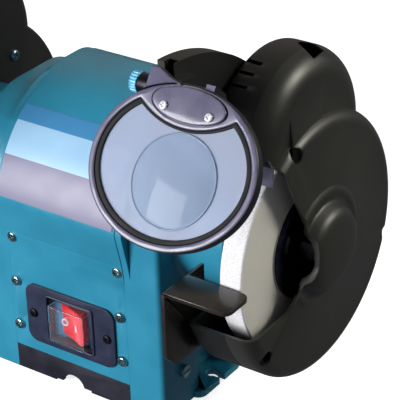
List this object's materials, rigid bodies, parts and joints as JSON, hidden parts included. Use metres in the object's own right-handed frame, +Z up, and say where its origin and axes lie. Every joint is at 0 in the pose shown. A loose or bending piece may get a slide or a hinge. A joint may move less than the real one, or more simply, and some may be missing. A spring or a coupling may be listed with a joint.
{
  "type": "bench grinder",
  "caption": "Bench grinder with a white and a grey wheel, black guards, tool rests, tilting eye shields, one with a magnifier, and a rocker switch in a teal motor housing.",
  "frame": {"origin": "on the bench, midway between the two bench bolt holes, under the middle of the motor", "axes": "+X along the spindle to the right-hand wheel, -Y towards the operator, +Z up"},
  "size_m": [0.401, 0.2469, 0.2891],
  "materials": {
    "teal_paint": "semi-gloss enamel",
    "label_film": "printed film in plain bands, satin",
    "black_paint": "gloss black enamel",
    "foot_rubber": "matt",
    "zinc_steel": "zinc plated",
    "black_plastic": "fine texture",
    "blacked_steel": "blackened, oiled",
    "red_plastic": "moulded gloss",
    "clear_boot": "clear soft cover",
    "capacitor_case": "drawn can",
    "ivory_plastic": "moulded",
    "lamination_steel": "stacked sheet steel",
    "copper_wire": "enamelled copper wire, lacquered",
    "cast_aluminium": "as cast",
    "ground_steel": "ground",
    "blotter_paper": "compressed paper",
    "white_abrasive": "fine white aluminium oxide, vitrified",
    "brown_abrasive": "coarse grey-brown aluminium oxide, vitrified",
    "guard_black": "satin black with an olive cast",
    "arrestor_steel": "satin",
    "frame_plastic": "satin moulding",
    "clear_lens": "clear polycarbonate",
    "knob_plastic": "knurled moulding"
  },
  "bodies": {
    "housing": {"motor_housing": "teal_paint", "front_panel": "teal_paint", "label_plate": "label_film", "end_shield_right": "teal_paint", "end_shield_left": "teal_paint", "base_plate": "black_paint", "rubber_feet": "foot_rubber", "panel_screws": "zinc_steel", "tie_bolts": "zinc_steel", "switch_plate": "black_plastic", "switch_screws": "blacked_steel", "switch_body": "black_plastic", "switch_cover": "clear_boot", "capacitor": "capacitor_case", "terminal_block": "ivory_plastic", "cable_gland": "black_plastic", "stator_core": "lamination_steel", "stator_windings": "copper_wire", "bearing_outer_rings": "ground_steel", "guard_shell_right": "guard_black", "guard_shell_left": "guard_black", "guard_cover_right": "guard_black", "guard_cover_left": "guard_black", "guard_screws": "zinc_steel", "cover_screws": "blacked_steel", "arrestor_screws": "zinc_steel", "rest_bolts": "blacked_steel", "shield_bracket_right": "guard_black", "shield_bracket_left": "guard_black", "bracket_screws": "zinc_steel"},
    "spindle": {"rotor_core": "lamination_steel", "rotor_end_rings": "cast_aluminium", "rotor_shaft": "ground_steel", "bearing_inner_rings": "ground_steel", "bearing_balls": "ground_steel", "inner_flanges": "blacked_steel", "blotters": "blotter_paper", "wheel_right": "white_abrasive", "wheel_left": "brown_abrasive", "outer_flanges": "blacked_steel", "spindle_nuts": "zinc_steel"},
    "rocker": {"switch_rocker": "red_plastic"},
    "shield_right": {"shield_frame_right": "frame_plastic", "shield_lens_right": "clear_lens", "shield_screws_right": "zinc_steel"},
    "shield_left": {"shield_frame_left": "frame_plastic", "shield_lens_left": "clear_lens", "shield_screws_left": "zinc_steel"},
    "knob_right": {"shield_knob_right": "knob_plastic"},
    "knob_left": {"shield_knob_left": "knob_plastic"},
    "rest_right": {"tool_rest_right": "black_paint"},
    "rest_left": {"tool_rest_left": "black_paint"},
    "arrestor_right": {"spark_arrestor_right": "arrestor_steel"},
    "arrestor_left": {"spark_arrestor_left": "arrestor_steel"}
  },
  "joints": [
    {"name": "spindle_spin", "type": "hinge", "parent": "housing", "child": "spindle", "pos_m": [0, 0, 0.135], "axis": [1, 0, 0], "continuous": true},
    {"name": "switch_rock", "type": "hinge", "parent": "housing", "child": "rocker", "pos_m": [0.003, -0.055, 0.0525], "axis": [0, 0, 1], "range_deg": [0, 20]},
    {"name": "eye_shield_right_tilt", "type": "hinge", "parent": "housing", "child": "shield_right", "pos_m": [0.133, -0.096, 0.273], "axis": [1, 0, 0], "range_deg": [-38, 20]},
    {"name": "shield_knob_right_turn", "type": "hinge", "parent": "housing", "child": "knob_right", "pos_m": [0.1, -0.096, 0.273], "axis": [1, 0, 0], "range_deg": [0, 180]},
    {"name": "tool_rest_right_slide", "type": "slide", "parent": "housing", "child": "rest_right", "axis": [0, -1, 0], "range_m": [0, 0.009]},
    {"name": "spark_arrestor_right_slide", "type": "slide", "parent": "housing", "child": "arrestor_right", "axis": [0, 0, -1], "range_m": [0, 0.008]},
    {"name": "eye_shield_left_tilt", "type": "hinge", "parent": "housing", "child": "shield_left", "pos_m": [-0.133, -0.096, 0.273], "axis": [1, 0, 0], "range_deg": [-38, 20]},
    {"name": "shield_knob_left_turn", "type": "hinge", "parent": "housing", "child": "knob_left", "pos_m": [-0.1, -0.096, 0.273], "axis": [1, 0, 0], "range_deg": [0, 180]},
    {"name": "tool_rest_left_slide", "type": "slide", "parent": "housing", "child": "rest_left", "axis": [0, -1, 0], "range_m": [0, 0.009]},
    {"name": "spark_arrestor_left_slide", "type": "slide", "parent": "housing", "child": "arrestor_left", "axis": [0, 0, -1], "range_m": [0, 0.008]}
  ]
}
